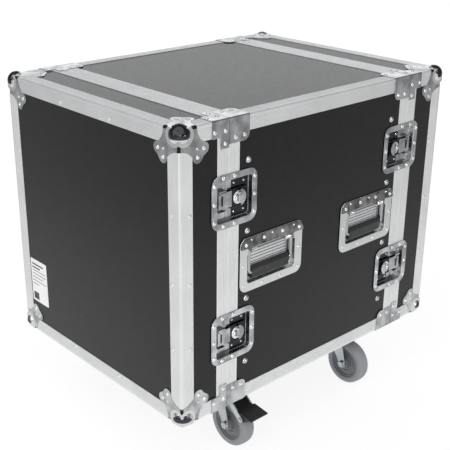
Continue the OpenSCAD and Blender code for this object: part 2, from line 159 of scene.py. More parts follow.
def revolve(profile, steps):
    """Turns (radius, height) points about Z; a radius of 0 closes on the axis."""
    bm = bmesh.new()
    rings = []
    for r, z in profile:
        if r < 1e-6:
            rings.append([bm.verts.new((0, 0, z))])
        else:
            rings.append([bm.verts.new((r * math.cos(a), r * math.sin(a), z)) for a in turns(steps)])
    for low, high in zip(rings, rings[1:]):
        for i in range(steps):
            j = (i + 1) % steps
            corners = [low[i % len(low)], low[j % len(low)], high[j % len(high)], high[i % len(high)]]
            corners = list(dict.fromkeys(corners))
            if len(corners) > 2:
                bm.faces.new(corners)
    return bm


def tube(path, r, sides):
    """Sweeps a circle along points, carrying its direction along so that the rings don't twist."""
    points = [Vector(p) for p in path]
    loops = []
    across = None
    for i, p in enumerate(points):
        ahead = (points[min(i + 1, len(points) - 1)] - points[max(i - 1, 0)]).normalized()
        if across is None:
            seed = Vector((0, 0, 1)) if abs(ahead.z) < 0.9 else Vector((0, 1, 0))
            across = ahead.cross(seed).normalized()
        across = (across - ahead * across.dot(ahead)).normalized()
        up = ahead.cross(across)
        loops.append([p + (across * math.cos(a) + up * math.sin(a)) * r for a in turns(sides)])
    return loft(loops)


def uv_ball(r, segments, rings):
    bm = bmesh.new()
    bmesh.ops.create_uvsphere(bm, u_segments=segments, v_segments=rings, radius=r)
    return bm


def bevel_sharp(bm, width, segments=2, angle=30.0, from_cad=False):
    """Rounds sharp edges over.

    On a CAD shape only the convex ones, so that clearances stay, and without clamping, which shrinks
    the width to nothing where arcs are finely divided.
    """
    bmesh.ops.recalc_face_normals(bm, faces=bm.faces)
    limit = math.radians(angle)
    sharp = [e for e in bm.edges if len(e.link_faces) == 2 and e.calc_face_angle(0) > limit]
    if from_cad:
        sharp = [e for e in sharp if e.is_convex]
    bmesh.ops.bevel(bm, geom=sharp, offset=width, segments=segments, profile=0.5,
                    affect="EDGES", clamp_overlap=not from_cad)


def cut_away(bm, point, normal):
    """Removes what lies on the normal's side of a plane and closes the cut."""
    geom = list(bm.verts) + list(bm.edges) + list(bm.faces)
    bmesh.ops.bisect_plane(bm, geom=geom, plane_co=point, plane_no=normal, clear_outer=True)
    edges = [e for e in bm.edges if len(e.link_faces) == 1]
    bmesh.ops.holes_fill(bm, edges=edges, sides=0)


def split_at(bm, y):
    """Adds an edge loop where a mesh crosses a plane of constant y."""
    geom = list(bm.verts) + list(bm.edges) + list(bm.faces)
    bmesh.ops.bisect_plane(bm, geom=geom, plane_co=(0, y, 0), plane_no=(0, 1, 0))
    return bm


def subtract(bm, tool):
    """Exact boolean difference of two closed meshes."""
    objects = []
    for source in (bm, tool):
        mesh = bpy.data.meshes.new("cut")
        source.to_mesh(mesh)
        objects.append(bpy.data.objects.new("cut", mesh))
        bpy.context.scene.collection.objects.link(objects[-1])
    modifier = objects[0].modifiers.new("cut", "BOOLEAN")
    modifier.operation = "DIFFERENCE"
    modifier.object = objects[1]
    evaluated = objects[0].evaluated_get(bpy.context.evaluated_depsgraph_get())
    out = bmesh.new()
    out.from_mesh(evaluated.to_mesh())
    for obj in objects:
        mesh = obj.data
        bpy.data.objects.remove(obj)
        bpy.data.meshes.remove(mesh)
    return out


def merged(*parts):
    """One bmesh from several (bmesh, matrix) pairs or plain bmeshes."""
    out = bmesh.new()
    for part in parts:
        bm, matrix = part if isinstance(part, tuple) else (part, Matrix.Identity(4))
        copy = bm.copy()
        copy.transform(matrix)
        if matrix.determinant() < 0:
            bmesh.ops.reverse_faces(copy, faces=copy.faces)
        temp = bpy.data.meshes.new("temp")
        copy.to_mesh(temp)
        copy.free()
        out.from_mesh(temp)
        bpy.data.meshes.remove(temp)
    return out


def piece(name, parts, material, body, replaces=(), smooth=35.0):
    bm = merged(*parts)
    bm.transform(Matrix.Scale(MM, 4))
    bmesh.ops.recalc_face_normals(bm, faces=bm.faces)
    mesh = bpy.data.meshes.new(name)
    bm.to_mesh(mesh)
    bm.free()
    mesh.shade_smooth()
    mesh.set_sharp_from_angle(angle=math.radians(smooth))
    mesh.materials.append(material)
    obj = bpy.data.objects.new(name, mesh)
    bpy.context.scene.collection.objects.link(obj)
    normals = obj.modifiers.new("normals", "WEIGHTED_NORMAL")
    normals.keep_sharp = True
    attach(obj, body)
    if replaces:
        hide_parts(*replaces)
    return obj


def tint(obj, material, inside):
    """Gives a second material to the faces whose centre passes the test."""
    obj.data.materials.append(material)
    for face in obj.data.polygons:
        if inside(face.center):
            face.material_index = 1


def refined(node, width):
    """The CAD node's own shape in millimetres, with its sharp edges rounded over."""
    bm = bmesh.new()
    bm.from_mesh(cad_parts[node].data)
    bm.transform(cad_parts[node].matrix_world)
    bm.transform(Matrix.Scale(1 / MM, 4))
    bmesh.ops.remove_doubles(bm, verts=bm.verts, dist=0.002)
    bmesh.ops.dissolve_limit(bm, angle_limit=math.radians(0.5), verts=bm.verts, edges=bm.edges)
    bevel_sharp(bm, width, from_cad=True)
    return bm


# ---- Materials ----
class Nodes:
    """Small helper round one material's node tree."""

    def __init__(self, name):
        self.material = bpy.data.materials.new(name)
        self.material.use_nodes = True
        self.tree = self.material.node_tree
        self.shader = self.tree.nodes["Principled BSDF"]
        self.coords = self.tree.nodes.new("ShaderNodeTexCoord").outputs["Object"]

    def link(self, out, to):
        self.tree.links.new(out, to)

    def set(self, **values):
        for key, value in values.items():
            self.shader.inputs[key.replace("_", " ")].default_value = value

    def noise(self, scale, detail=3.0, stretch=(1, 1, 1)):
        mapping = self.tree.nodes.new("ShaderNodeMapping")
        mapping.inputs["Scale"].default_value = stretch
        self.link(self.coords, mapping.inputs["Vector"])
        tex = self.tree.nodes.new("ShaderNodeTexNoise")
        tex.inputs["Scale"].default_value = scale
        tex.inputs["Detail"].default_value = detail
        self.link(mapping.outputs["Vector"], tex.inputs["Vector"])
        return tex.outputs["Fac"]

    def ranged(self, value, low, high, start=0.3, stop=0.7, curve="LINEAR"):
        node = self.tree.nodes.new("ShaderNodeMapRange")
        node.interpolation_type = curve
        node.inputs["From Min"].default_value = start
        node.inputs["From Max"].default_value = stop
        node.inputs["To Min"].default_value = low
        node.inputs["To Max"].default_value = high
        self.link(value, node.inputs["Value"])
        return node.outputs["Result"]

    def maths(self, operation, first, second=None):
        node = self.tree.nodes.new("ShaderNodeMath")
        node.operation = operation
        self.link(first, node.inputs[0])
        if isinstance(second, float):
            node.inputs[1].default_value = second
        elif second is not None:
            self.link(second, node.inputs[1])
        return node.outputs["Value"]

    def mixed(self, value, first, second):
        ramp = self.tree.nodes.new("ShaderNodeValToRGB")
        ramp.color_ramp.elements[0].position = 0.35
        ramp.color_ramp.elements[1].position = 0.65
        ramp.color_ramp.elements[0].color = (*first, 1)
        ramp.color_ramp.elements[1].color = (*second, 1)
        self.link(value, ramp.inputs["Fac"])
        return ramp.outputs["Color"]

    def colour(self, value, first, second):
        self.link(self.mixed(value, first, second), self.shader.inputs["Base Color"])

    def roughness(self, value, low, high):
        self.link(self.ranged(value, low, high), self.shader.inputs["Roughness"])

    def bump(self, value, strength, distance):
        node = self.tree.nodes.new("ShaderNodeBump")
        node.inputs["Strength"].default_value = strength
        node.inputs["Distance"].default_value = distance
        self.link(value, node.inputs["Height"])
        self.link(node.outputs["Normal"], self.shader.inputs["Normal"])


def laminate():
    n = Nodes("laminate")
    n.colour(n.noise(60, 4), (0.007, 0.007, 0.0075), (0.009, 0.009, 0.0095))
    n.roughness(n.noise(90, 4), 0.27, 0.32)
    n.bump(n.noise(1300, 2), 0.12, 0.0002)
    n.set(Specular_IOR_Level=0.24)
    return n.material


def aluminium():
    n = Nodes("aluminium")
    n.set(Metallic=1.0)
    n.colour(n.noise(14, 5), (0.75, 0.755, 0.755), (0.80, 0.80, 0.80))
    n.roughness(n.noise(60, 4), 0.50, 0.60)
    n.bump(n.noise(900, 3), 0.06, 0.0002)
    return n.material


def plated(name, base, rough, waviness, painted_reflection_dim=0.9):
    """Bright plating on pressed steel: nearly a mirror, with the sheet's slight waves, and darker patches
    painted into its colour as a reflection of dark surroundings.
    """
    n = Nodes(name)
    n.set(Metallic=1.0)
    # Painted reflection: the colour darkens in patches to stand in for dark surroundings mirrored in the
    # plating.
    n.colour(n.noise(38, 5), tuple(c * painted_reflection_dim for c in base), base)
    n.roughness(n.noise(120, 4), rough[0], rough[1])
    n.bump(n.noise(55, 2), waviness, 0.002)
    return n.material


def moulded(name, dark, light, rough, grain=1800, strength=0.2):
    """Moulded rubber or plastic with a fine grain."""
    n = Nodes(name)
    n.colour(n.noise(25, 4), dark, light)
    n.roughness(n.noise(80, 4), rough[0], rough[1])
    n.bump(n.noise(grain, 2), strength, 0.0003)
    return n.material


LAMINATE = laminate()
ALUMINIUM = aluminium()
POLISHED = plated("polished_chrome", (0.86, 0.87, 0.88), (0.05, 0.10), 0.10)
BOLT = plated("bolt_plating", (0.66, 0.67, 0.68), (0.10, 0.20), 0.20, 0.6)
# Painted reflection: pressed chrome is darkened and strongly patched so that it reads as chrome mirroring
# dark surroundings.
PRESSED = plated("pressed_chrome", (0.56, 0.57, 0.58), (0.14, 0.26), 0.40, 0.5)
# Painted reflection: a lighter copy of the plating, for the balls' undersides, the corner collars and the
# handle dishes.
PAINTED_LIGHT_PLATING = plated("plating_painted_light", (0.66, 0.67, 0.67), (0.24, 0.34), 0.15, 0.92)
# Painted reflection: the bail and hood copies are darkened, the hood strongly patched, for dark reflections
# on them.
BAIL = plated("bail_chrome", (0.42, 0.43, 0.44), (0.06, 0.12), 0.10)
HOOD = plated("hood_plating", (0.42, 0.41, 0.42), (0.08, 0.18), 0.45, 0.25)
# Painted reflection: nearly black chrome for the dark dome of the corner balls.
PAINTED_DARK_CHROME = plated("chrome_painted_dark", (0.060, 0.060, 0.068), (0.04, 0.08), 0.05)
# Painted shade: nearly black plating for the latch recesses, the hooks under the hubs and the hooks' slots.
PAINTED_SHADE = plated("painted_shade_plating", (0.045, 0.047, 0.052), (0.20, 0.30), 0.20, 0.7)
ZINC = plated("zinc", (0.52, 0.56, 0.56), (0.26, 0.36), 0.10, 0.75)
RAIL_PAINT = moulded("rail_paint", (0.018, 0.018, 0.019), (0.03, 0.03, 0.031), (0.4, 0.55), 1500, 0.3)
TYRE = moulded("wheel_rubber", (0.215, 0.22, 0.235), (0.25, 0.255, 0.27), (0.5, 0.65))
CORE = moulded("wheel_core", (0.12, 0.125, 0.135), (0.15, 0.155, 0.165), (0.4, 0.5))
BLACK = moulded("black_moulding", (0.004, 0.004, 0.0045), (0.007, 0.007, 0.0075), (0.36, 0.48))
GRIP = moulded("grip_rubber", (0.012, 0.012, 0.013), (0.02, 0.02, 0.021), (0.45, 0.6))
FOAM = moulded("foam", (0.02, 0.02, 0.021), (0.045, 0.045, 0.046), (0.85, 0.95), 500, 0.9)
PAPER = moulded("label_paper", (0.78, 0.78, 0.77), (0.84, 0.84, 0.83), (0.35, 0.45), 600, 0.05)
INK = moulded("label_ink", (0.03, 0.03, 0.03), (0.05, 0.05, 0.05), (0.4, 0.5), 600, 0.05)


# ---- Extrusions ----
RIB_FIRST, RIB_STEP, RIB_COUNT, RIB_DEPTH = 7.5, 3.2, 7, 0.6


def ribbed_leg(length, first=RIB_FIRST, count=RIB_COUNT, step=RIB_STEP):
    """(distance along the leg, height over its outer plane) from the ridge side to the free edge."""
    points = [(first - 1.2, 0.0)]
    for i in range(count):
        s = first + i * step
        points += [(s, 0.0), (s + 0.3, -RIB_DEPTH), (s + 0.9, -RIB_DEPTH), (s + 1.2, 0.0)]
    return points + [(length - 0.5, 0.0), (length, -0.5)]


def edge_outline():
    """Double angle: ribbed legs along -X and -Y from a rounded ridge at the origin."""
    leg = ribbed_leg(EDGE_LEG)
    ridge_r = 3.0
    ridge = arc(-ridge_r, -ridge_r, ridge_r, 0, 90, 6)
    down = [(h, -s) for s, h in reversed(leg)]
    across = [(-s, h) for s, h in leg]
    inner = [(-EDGE_LEG, -SKIN), (-SKIN, -SKIN), (-SKIN, -EDGE_LEG)]
    return down + ridge + across + inner


ARCH_SPAN, ARCH_RISE = 26.0, 13.0


def arch(distance):
    """How far a rail's end draws back at a point that far from the rail's free edge."""
    return ARCH_RISE * (1 - min(distance / ARCH_SPAN, 1.0)) ** 2


def edge_rail(length, arch_low, arch_high):
    """Edge extrusion along +Z; an arched end is drawn back towards the free edge of both legs."""
    outline = edge_outline()
    draw = [arch(EDGE_LEG - max(-x, -y)) for x, y in outline]
    low = [(x, y, d if arch_low else 0.0) for (x, y), d in zip(outline, draw)]
    high = [(x, y, length - d if arch_high else length) for (x, y), d in zip(outline, draw)]
    return loft([low, high])


def along_y(y0, y1, arched):
    """Edge extrusion on the right upper edge from y0 to y1."""
    turn = Matrix(((1, 0, 0, HALF_W), (0, 0, -1, y1), (0, 1, 0, HALF_H), (0, 0, 0, 1)))
    return edge_rail(y1 - y0, False, arched), turn


def along_x():
    """Edge extrusion along the front upper edge, arched at both ends."""
    length = 2 * (HALF_W - RAIL_END)
    turn = Matrix(((0, 0, 1, -length / 2), (-1, 0, 0, -HALF_D), (0, 1, 0, HALF_H), (0, 0, 0, 1)))
    return edge_rail(length, True, True), turn


def along_z():
    """Edge extrusion up the front right edge, arched at both ends."""
    length = 2 * (HALF_H - RAIL_END)
    turn = Matrix(((1, 0, 0, HALF_W), (0, -1, 0, -HALF_D), (0, 0, 1, -length / 2), (0, 0, 0, 1)))
    return edge_rail(length, True, True), turn


def rim_strip(length, tongued):
    """Closing extrusion along +Z, centred: X from the seam, Y out of the case."""
    top = [(0.0, -0.4), (0.5, 0.0)] + ribbed_leg(RIM_W, 3.0, 6, 3.4)
    if tongued:
        back = [(RIM_W, -SKIN), (SKIN, -SKIN), (SKIN, -INSET), (0, -INSET), (0, -7.2), (-6, -7.0),
                (-6, -5.0), (0, -4.8)]
    else:
        back = [(RIM_W, -SKIN), (9, -SKIN), (9, -INSET), (0, -INSET), (0, -7.6), (7, -7.6),
                (7, -4.4), (0, -4.4)]
    return prism(top + back, -length / 2, length / 2)


LATCH_GAP = LATCH_OPEN + SHEET + 0.4


def rim_parts(tongued):
    """The bars round one seam, drawn for the right side and the top of the front seam."""
    run = 1 if tongued else -1
    side = Matrix(((0, 1, 0, HALF_W), (run, 0, 0, -SEAM), (0, 0, 1, 0), (0, 0, 0, 1)))
    top = Matrix(((0, 0, 1, 0), (run, 0, 0, -SEAM), (0, 1, 0, HALF_H), (0, 0, 0, 1)))
    parts = [(rim_strip(2 * (HALF_W - EDGE_LEG), tongued), top)]
    stretches = [(-LATCH_Z + LATCH_GAP, LATCH_Z - LATCH_GAP), (LATCH_Z + LATCH_GAP, HALF_H - EDGE_LEG)]
    for z0, z1 in stretches:
        strip = rim_strip(z1 - z0, tongued)
        parts.append((strip, side @ Matrix.Translation((0, 0, (z0 + z1) / 2))))
    return parts


def rim_pieces(end, tongued):
    """All the bars round one seam; those that cross a plane of symmetry come only once."""
    parts = []
    for side in (-1, 1):
        for level in (-1, 1):
            here = place(end, side, level)
            for i, (bm, matrix) in enumerate(rim_parts(tongued)):
                if (i == 0 and side < 0) or (i == 1 and level < 0):
                    continue
                parts.append((bm, here @ matrix))
    return parts


def build_extrusions():
    body_edge = along_y(-SEAM, SEAM, False)
    parts = [(body_edge[0], place(-1, s, v) @ body_edge[1]) for s in (-1, 1) for v in (-1, 1)]
    piece("body_edge_extrusions", parts, ALUMINIUM, "root", ["edge_extrusions"])
    rims = rim_pieces(-1, True) + rim_pieces(1, True)
    piece("body_rim_extrusions", rims, ALUMINIUM, "root", ["rim_extrusions"])
    for name, end in ENDS.items():
        parts = rim_pieces(end, False)
        short, across, upright = along_y(-HALF_D + RAIL_END, -SEAM, True), along_x(), along_z()
        for side in (-1, 1):
            parts += [(short[0], place(end, side, v) @ short[1]) for v in (-1, 1)]
            parts.append((upright[0], place(end, side) @ upright[1]))
            parts.append((across[0], place(end, 1, side) @ across[1]))
        piece(f"{name}_cover_rails", parts, ALUMINIUM, f"{name}_cover",
              [f"{name}_cover_extrusions"])


# ---- Rivets ----
RIVET_R = 4.1


def rivet(r):
    """Blind rivet head with the mandrel's dimple."""
    k = r / RIVET_R
    return revolve([(4.1 * k, -0.3), (4.1 * k, 0.25), (3.5 * k, 0.95), (2.4 * k, 1.5), (1.3 * k, 1.65),
                    (0.95 * k, 1.2), (0, 1.2)], 14)


RIVET = rivet(RIVET_R)
FLAT_RIVET = rivet(3.1)
SMALL_RIVET = rivet(2.3)
RAIL_RIVET_IN = 22.5


def edge_mirrored(u, v, out=0.0):
    """A rivet on the side face u behind the seam and v below the top, and its twin on the top face."""
    return [on_side(-SEAM + u, HALF_H - v, out), on_top(HALF_W - v, -SEAM + u, out)]


# ---- Ball corners and braces ----
BALL_R = 18.9
BALL_IN = 13.0        # the ball's centre, in from each outer face
LEAF_T = 1.8
LEAF_OUT = LEAF_T - SKIN
DOME_ANGLE = math.radians(76)
DOME_FLOOR = {1: -0.26, -1: -0.13}     # sine of the lower limit of the dome painted dark as reflection, for upper and lower balls
COLLAR_ANGLE = math.radians(52)
COLLAR_BORE = 13.2
LOBE = (55.0, 41.0)
LOBE_R = 11.0
LEAF_TIP = 54.6       # where the two lobes of a leaf meet on its diagonal
LEAF_PIN = 40.0       # small rivet on the diagonal
EDGE_GAP = 4.5


def leaf_outline():
    """Half of the leaf from near the corner to its diagonal, then the mirror image."""
    beside_rail = [EDGE_GAP + (EDGE_LEG - EDGE_GAP) * i / 12 for i in range(13)]
    half = [(EDGE_GAP, EDGE_GAP)] + [(RAIL_END + arch(EDGE_LEG - v) - 0.4, v) for v in beside_rail]
    half += arc(*LOBE, LOBE_R, -80, 48, 9) + [(LEAF_TIP, LEAF_TIP)]
    mirror = [(y, x) for x, y in reversed(half[1:-1])]
    return half + mirror


def corner_ball():
    """The ball, hollowed where it meets the case."""
    centre = Vector((HALF_W - BALL_IN, -HALF_D + BALL_IN, HALF_H - BALL_IN))
    ball = merged((uv_ball(BALL_R, 40, 24), Matrix.Translation(centre)))
    block = box((0, -HALF_D + SKIN, 0), (HALF_W - SKIN, 0, HALF_H - SKIN))
    return subtract(ball, block)


def corner_collar():
    """Raised ring where the ball comes through one face; mitred with its neighbours, open at the dome."""
    bore = COLLAR_BORE
    collar = revolve([(bore, 0.0), (19.7, 0.0), (19.5, 0.5), (19.1, 0.65), (bore, 0.65), (bore, 0.0)], 48)
    collar.transform(Matrix.Translation((BALL_IN, BALL_IN, 0)))
    out = Vector((-1, -1, 1)).normalized()
    rim = Vector((BALL_IN, BALL_IN, -BALL_IN)) + out * BALL_R * math.cos(COLLAR_ANGLE)
    for point, normal in (((0, 0, 0), (-1, 0, -1)), ((0, 0, 0), (0, -1, -1)), (rim, out)):
        cut_away(collar, point, normal)
    return collar


def corner_sheet():
    """The three leaves of a corner, their collars and their rivets."""
    faces = [
        Matrix(((0, 0, 1, HALF_W), (1, 0, 0, -HALF_D), (0, -1, 0, HALF_H), (0, 0, 0, 1))),
        Matrix(((-1, 0, 0, HALF_W), (0, 0, -1, -HALF_D), (0, -1, 0, HALF_H), (0, 0, 0, 1))),
        Matrix(((-1, 0, 0, HALF_W), (0, 1, 0, -HALF_D), (0, 0, 1, HALF_H), (0, 0, 0, 1))),
    ]
    leaf, collar = prism(leaf_outline(), -SKIN, LEAF_OUT, 0.4), corner_collar()
    heads = [(RIVET, LOBE), (RIVET, LOBE[::-1]), (SMALL_RIVET, (LEAF_PIN, LEAF_PIN))]
    rivets = [(head, face @ Matrix.Translation((*at, LEAF_OUT))) for face in faces for head, at in heads]
    leaves, collars = [[(bm, face) for face in faces] for bm in (leaf, collar)]
    return merged(*leaves), merged(*collars), merged(*rivets)


def off_painted_dark_dome(point):
    """Whether a point on a ball, in metres, is off the dome painted dark as reflection: far round it, or on
    its underside, which is painted bright as reflection.
    """
    level = 1 if point.z / MM > MID_Z else -1
    centre = Vector((HALF_W - BALL_IN, HALF_D - BALL_IN, MID_Z + level * (HALF_H - BALL_IN)))
    away = (Vector((abs(point.x), abs(point.y), point.z)) / MM - centre).normalized()
    return away.z < DOME_FLOOR[level] or away.dot(Vector((1, 1, level)).normalized()) < math.cos(DOME_ANGLE)


def build_corners():
    ball = corner_ball()
    plates, collars, rivets = corner_sheet()
    cover_spots = [at for u, v in ((-33.5, 20), (-9, 20.5), (-9.5, 43)) for at in edge_mirrored(u, v, SHEET)]
    body_spots = [at for u, v in ((15, 36), (36, 35)) for at in edge_mirrored(u, v, SHEET)]
    for name, end in ENDS.items():
        corners = [place(end, side, level) for side in (-1, 1) for level in (-1, 1)]
        body = f"{name}_cover"
        sheet = [(bm, here) for here in corners for bm in (plates, cover_brace())]
        heads = [(rivets, here) for here in corners]
        heads += [(RIVET, here @ at) for here in corners for at in cover_spots]
        piece(f"{name}_corner_plates", sheet, PRESSED, body, [f"{name}_cover_corners"])
        # Painted reflection: the balls are one chrome, painted with a dark dome and a lighter rim and
        # underside.
        balls = piece(f"{name}_corner_balls", [(ball, here) for here in corners], PAINTED_DARK_CHROME, body)
        tint(balls, PAINTED_LIGHT_PLATING, off_painted_dark_dome)
        piece(f"{name}_corner_collars", [(collars, here) for here in corners], PAINTED_LIGHT_PLATING, body)
        piece(f"{name}_corner_rivets", heads, POLISHED, body)
    braces = [(body_brace(), place(*o)) for o in OCTANTS]
    piece("body_brace_plates", braces, PRESSED, "root", ["rim_braces"])
    heads = [(RIVET, place(*o) @ at) for o in OCTANTS for at in body_spots]
    piece("body_brace_rivets", heads, POLISHED, "root")


def wrapped(outline, u0, u1):
    """A plate with this (u, v) outline on the side face and the top face, and a rounded edge between."""
    face = prism(outline, 0.0, SHEET, 0.35)
    side = Matrix(((0, 0, 1, HALF_W), (1, 0, 0, -SEAM), (0, -1, 0, HALF_H), (0, 0, 0, 1)))
    top = Matrix(((0, -1, 0, HALF_W), (1, 0, 0, -SEAM), (0, 0, 1, HALF_H), (0, 0, 0, 1)))
    r = 2.5
    bend = [(0.0, -r), (SHEET, -r)] + arc(-r, -r, r + SHEET, 0, 90, 5) + [(-r, 0.0), (0.0, 0.0)]
    edge = loft([[(HALF_W + x, -SEAM + u, HALF_H + z) for x, z in bend] for u in (u0 + 0.3, u1 - 0.3)])
    return merged((face, side), (face, top), edge)


def body_brace():
    outline = [(0.4, 0.6), (48, 0.6)] + arc(34, 32, 14, 0, 90, 6) + [(0.4, 46)]
    return wrapped(outline, 0.4, 48)


def cover_brace():
    outline = [(-39, 0.6), (-0.4, 0.6), (-0.4, 52), (-20, 52), (-20, 31), (-39, 31)]
    return wrapped(outline, -39, -0.4)


# ---- Latches ----
LATCH_IN, LATCH_OUT, LATCH_HALF = 40.0, 69.0, 51.0
OPEN_IN, OPEN_OUT = 27.0, 57.0
LATCH_SPLIT = 0.3     # half the gap between a latch's body dish and keeper dish
HUB_X = 21.0
GUIDE_Y = (15.3, 17.8)
# A hook nearer the middle than this is painted dark as shade.
HOOK_PAINTED_SHADE_Y = SEAM - 12.0


def both_sides(low, high):
    """An interval's mirror image and the interval."""
    return [(-high, -low), (low, high)]


def dish(outer, outer_r, inner, inner_r):
    """Pressed dish, closed all round: rolled flange, drawn wall, filleted floor."""
    def ring(rect, r, grow, z):
        return at_height(rounded_rect(*rect, r, grow), z)

    bm = loft([
        ring(inner, inner_r, SHEET, -INSET), ring(inner, inner_r, SHEET, 0.0),
        ring(outer, outer_r, 0.0, 0.0), ring(outer, outer_r, 0.0, 0.6), ring(outer, outer_r, -0.25, 1.0),
        ring(outer, outer_r, -0.7, SHEET), ring(inner, inner_r, 1.6, SHEET), ring(inner, inner_r, 0.7, 1.0),
        ring(inner, inner_r, 0.15, 0.3), ring(inner, inner_r, 0.0, -0.6),
        ring(inner, inner_r, 0.0, -DISH_FLOOR + 1.6), ring(inner, inner_r, -0.5, -DISH_FLOOR + 0.5),
        ring(inner, inner_r, -1.6, -DISH_FLOOR)])
    bmesh.ops.recalc_face_normals(bm, faces=bm.faces)
    return bm


def latch_tray(keeper):
    """One half of a latch's dish: the keeper's on the cover, or the latch's own on the body."""
    bm = dish((-LATCH_IN, LATCH_OUT, -LATCH_HALF, LATCH_HALF), 19,
              (-OPEN_IN, OPEN_OUT, -LATCH_OPEN, LATCH_OPEN), 6)
    outward = 1 if keeper else -1
    cut_away(bm, (-LATCH_SPLIT * outward, 0, 0), (outward, 0, 0))
    return bm


def latch_rivets(flange, floor):
    """Rivets on the flange and small ones on the floor, at (u, v) and mirrored in v."""
    spots = [(RIVET, u, side * v, SHEET) for u, v in flange for side in (-1, 1) if v or side > 0]
    spots += [(SMALL_RIVET, u, side * v, -DISH_FLOOR) for u, v in floor for side in (-1, 1)]
    return merged(*[(head, Matrix.Translation(at)) for head, *at in spots])


def latch_body_parts():
    stud = revolve([(0, -DISH_FLOOR - 0.3), (2.5, -DISH_FLOOR - 0.3), (2.5, -5.4), (0, -5.4)], 20)
    return merged(latch_tray(False), (stud, Matrix.Translation((27.5, 0, 0))))


def latch_floor():
    """Plate laid dark in the recess as painted shade, with the two guides of the hook, dark as well."""
    wall = 1.7
    outline = rounded_rect(14, OPEN_OUT - wall, -LATCH_OPEN + wall, LATCH_OPEN - wall, 4)
    parts = [prism(outline, -DISH_FLOOR - 0.2, -DISH_FLOOR + 0.12)]
    for y0, y1 in both_sides(*GUIDE_Y):
        parts.append(box((8, y0, -DISH_FLOOR - 0.5), (50, y1, -4.7), 0.4))
    return merged(*parts)


def latch_keeper_parts():
    """Dish with the lip that the hook holds, between two cheeks."""
    parts = [latch_tray(True), box((-16, -17, -DISH_FLOOR - 0.5), (-12, 17, -6.8), 0.6)]
    for y0, y1 in both_sides(18.0, 20.5):
        parts.append(box((-20, y0, -DISH_FLOOR - 0.5), (-4, y1, -1), 0.5))
    return merged(*parts)


def in_hook_painted_shade(point):
    """Whether a point of a hook, in metres, lies in the recess with the hub, where the hook is painted dark
    as shade.
    """
    return abs(point.y) < HOOK_PAINTED_SHADE_Y * MM


def build_latches():
    at = on_side(-SEAM, LATCH_Z)
    units = {
        "body_dishes": (latch_body_parts(), PRESSED),
        "painted_shade_floors": (latch_floor(), PAINTED_SHADE),
        "body_rivets": (latch_rivets([(62.5, 0), (62.5, 34), (13.6, 44.7)], [(20, 27), (44, 27)]), POLISHED),
    }
    for name, (unit, material) in units.items():
        parts = [(unit, place(*o) @ at) for o in OCTANTS]
        stands_for = ["latch_dishes"] if name == "body_dishes" else []
        piece(f"latch_{name}", parts, material, "root", stands_for)
    keeper, heads = latch_keeper_parts(), latch_rivets([(-34, 0), (-34, 34), (-13, 44.7)], [(-22.5, 26)])
    for name, end in ENDS.items():
        here = [place(*o) @ at for o in OCTANTS if o[0] == end]
        body = f"{name}_cover"
        piece(f"{name}_keeper_dishes", [(keeper, m) for m in here], PRESSED, body,
              [f"{name}_cover_keepers"])
        piece(f"{name}_keeper_rivets", [(heads, m) for m in here], POLISHED, body)
    # Painted shade: a thin dark plate laid on each hook where its slot is.
    slot = prism(rounded_rect(-13.5, -8.5, -9, 10, 2.2), -4.9, -4.72)
    knob = revolve([(0, 2.6), (2.4, 2.3), (4.6, 1.2), (5.8, 0), (5.8, -0.4), (0, -0.4)], 28)
    for spot, end, side in SPOTS:
        for level, v in LEVELS.items():
            here = place(end, side, v) @ at
            hub, wing, hook = [f"latch_{part}_{spot}_{level}" for part in ("hub", "wing", "hook")]
            piece(f"plated_{hub}", [refined(hub, 0.2)], POLISHED, hub, [hub])
            over_hub = here @ Matrix.Translation((HUB_X, 0, -3.2))
            piece(f"knob_{hub}", [(knob, over_hub)], POLISHED, hub)
            piece(f"plated_{wing}", [refined(wing, 0.15)], PRESSED, wing, [wing])
            strip = split_at(refined(hook, 0.35), end * HOOK_PAINTED_SHADE_Y)
            plate = piece(f"plated_{hook}", [strip], PRESSED, hook, [hook])
            # Painted shade: the hook turns dark where it lies in the recess under the hub.
            tint(plate, PAINTED_SHADE, in_hook_painted_shade)
            piece(f"slot_{hook}", [(slot, here)], PAINTED_SHADE, hook)


# ---- Handles ----
GRIP_HALF = 50.0
BAIL_R = 4.0
ARM_X = 56.0
BAIL_Z, BAIL_W = 24.0, -4.6          # the pivot's height, and its depth under the case's skin
BAIL_LOW = BAIL_Z - 46.0
HANDLE_TOP = 53.5
HANDLE_RECT = (-82.5, 82.5, -56.5, HANDLE_TOP)
HANDLE_OPEN = (-63.5, 63.5, -39.5, 31.5)
HOOD_LOW, HOOD_LEAN, HOOD_T = 33.0, 0.14, 0.9


def hood_face(y):
    """Height of the hood's outer face at this height on the dish."""
    return SHEET + HOOD_T + (HANDLE_TOP - y) * HOOD_LEAN


def hood():
    """Plate over the upper flange, leaning out over the springs."""
    x, r = 81.0, 16.0
    top = HANDLE_TOP - 1
    outline = [(-x, HOOD_LOW), (x, HOOD_LOW)] + arc(x - r, top - r, r, 0, 90, 8)
    outline += arc(r - x, top - r, r, 90, 180, 8)
    bm = loft([at_height(outline, SHEET - 0.3), [(a, b, hood_face(b)) for a, b in outline]])
    bevel_sharp(bm, 0.3)
    return bm


def handle_dish():
    """Dish with stiffening ribs across its floor and the two lugs of the bail's pivot."""
    parts = [dish(HANDLE_RECT, 17, HANDLE_OPEN, 6)]
    rib = [(1.1, 0.0), (0.8, 0.7), (0.0, 1.1), (-0.8, 0.7), (-1.1, 0.0)]
    rib_half, rib_top, rib_step, rib_count = 47, 15, 6.2, 5
    for i in range(rib_count):
        y = rib_top - rib_step * i
        parts.append(loft([[(x, y + a, -DISH_FLOOR + h) for a, h in rib] for x in (-rib_half, rib_half)]))
    for x0, x1 in both_sides(60.5, 64.0):
        parts.append(box((x0, BAIL_Z - 7, -DISH_FLOOR - 0.3), (x1, 31.8, -0.4), 0.5))
    return merged(*parts)


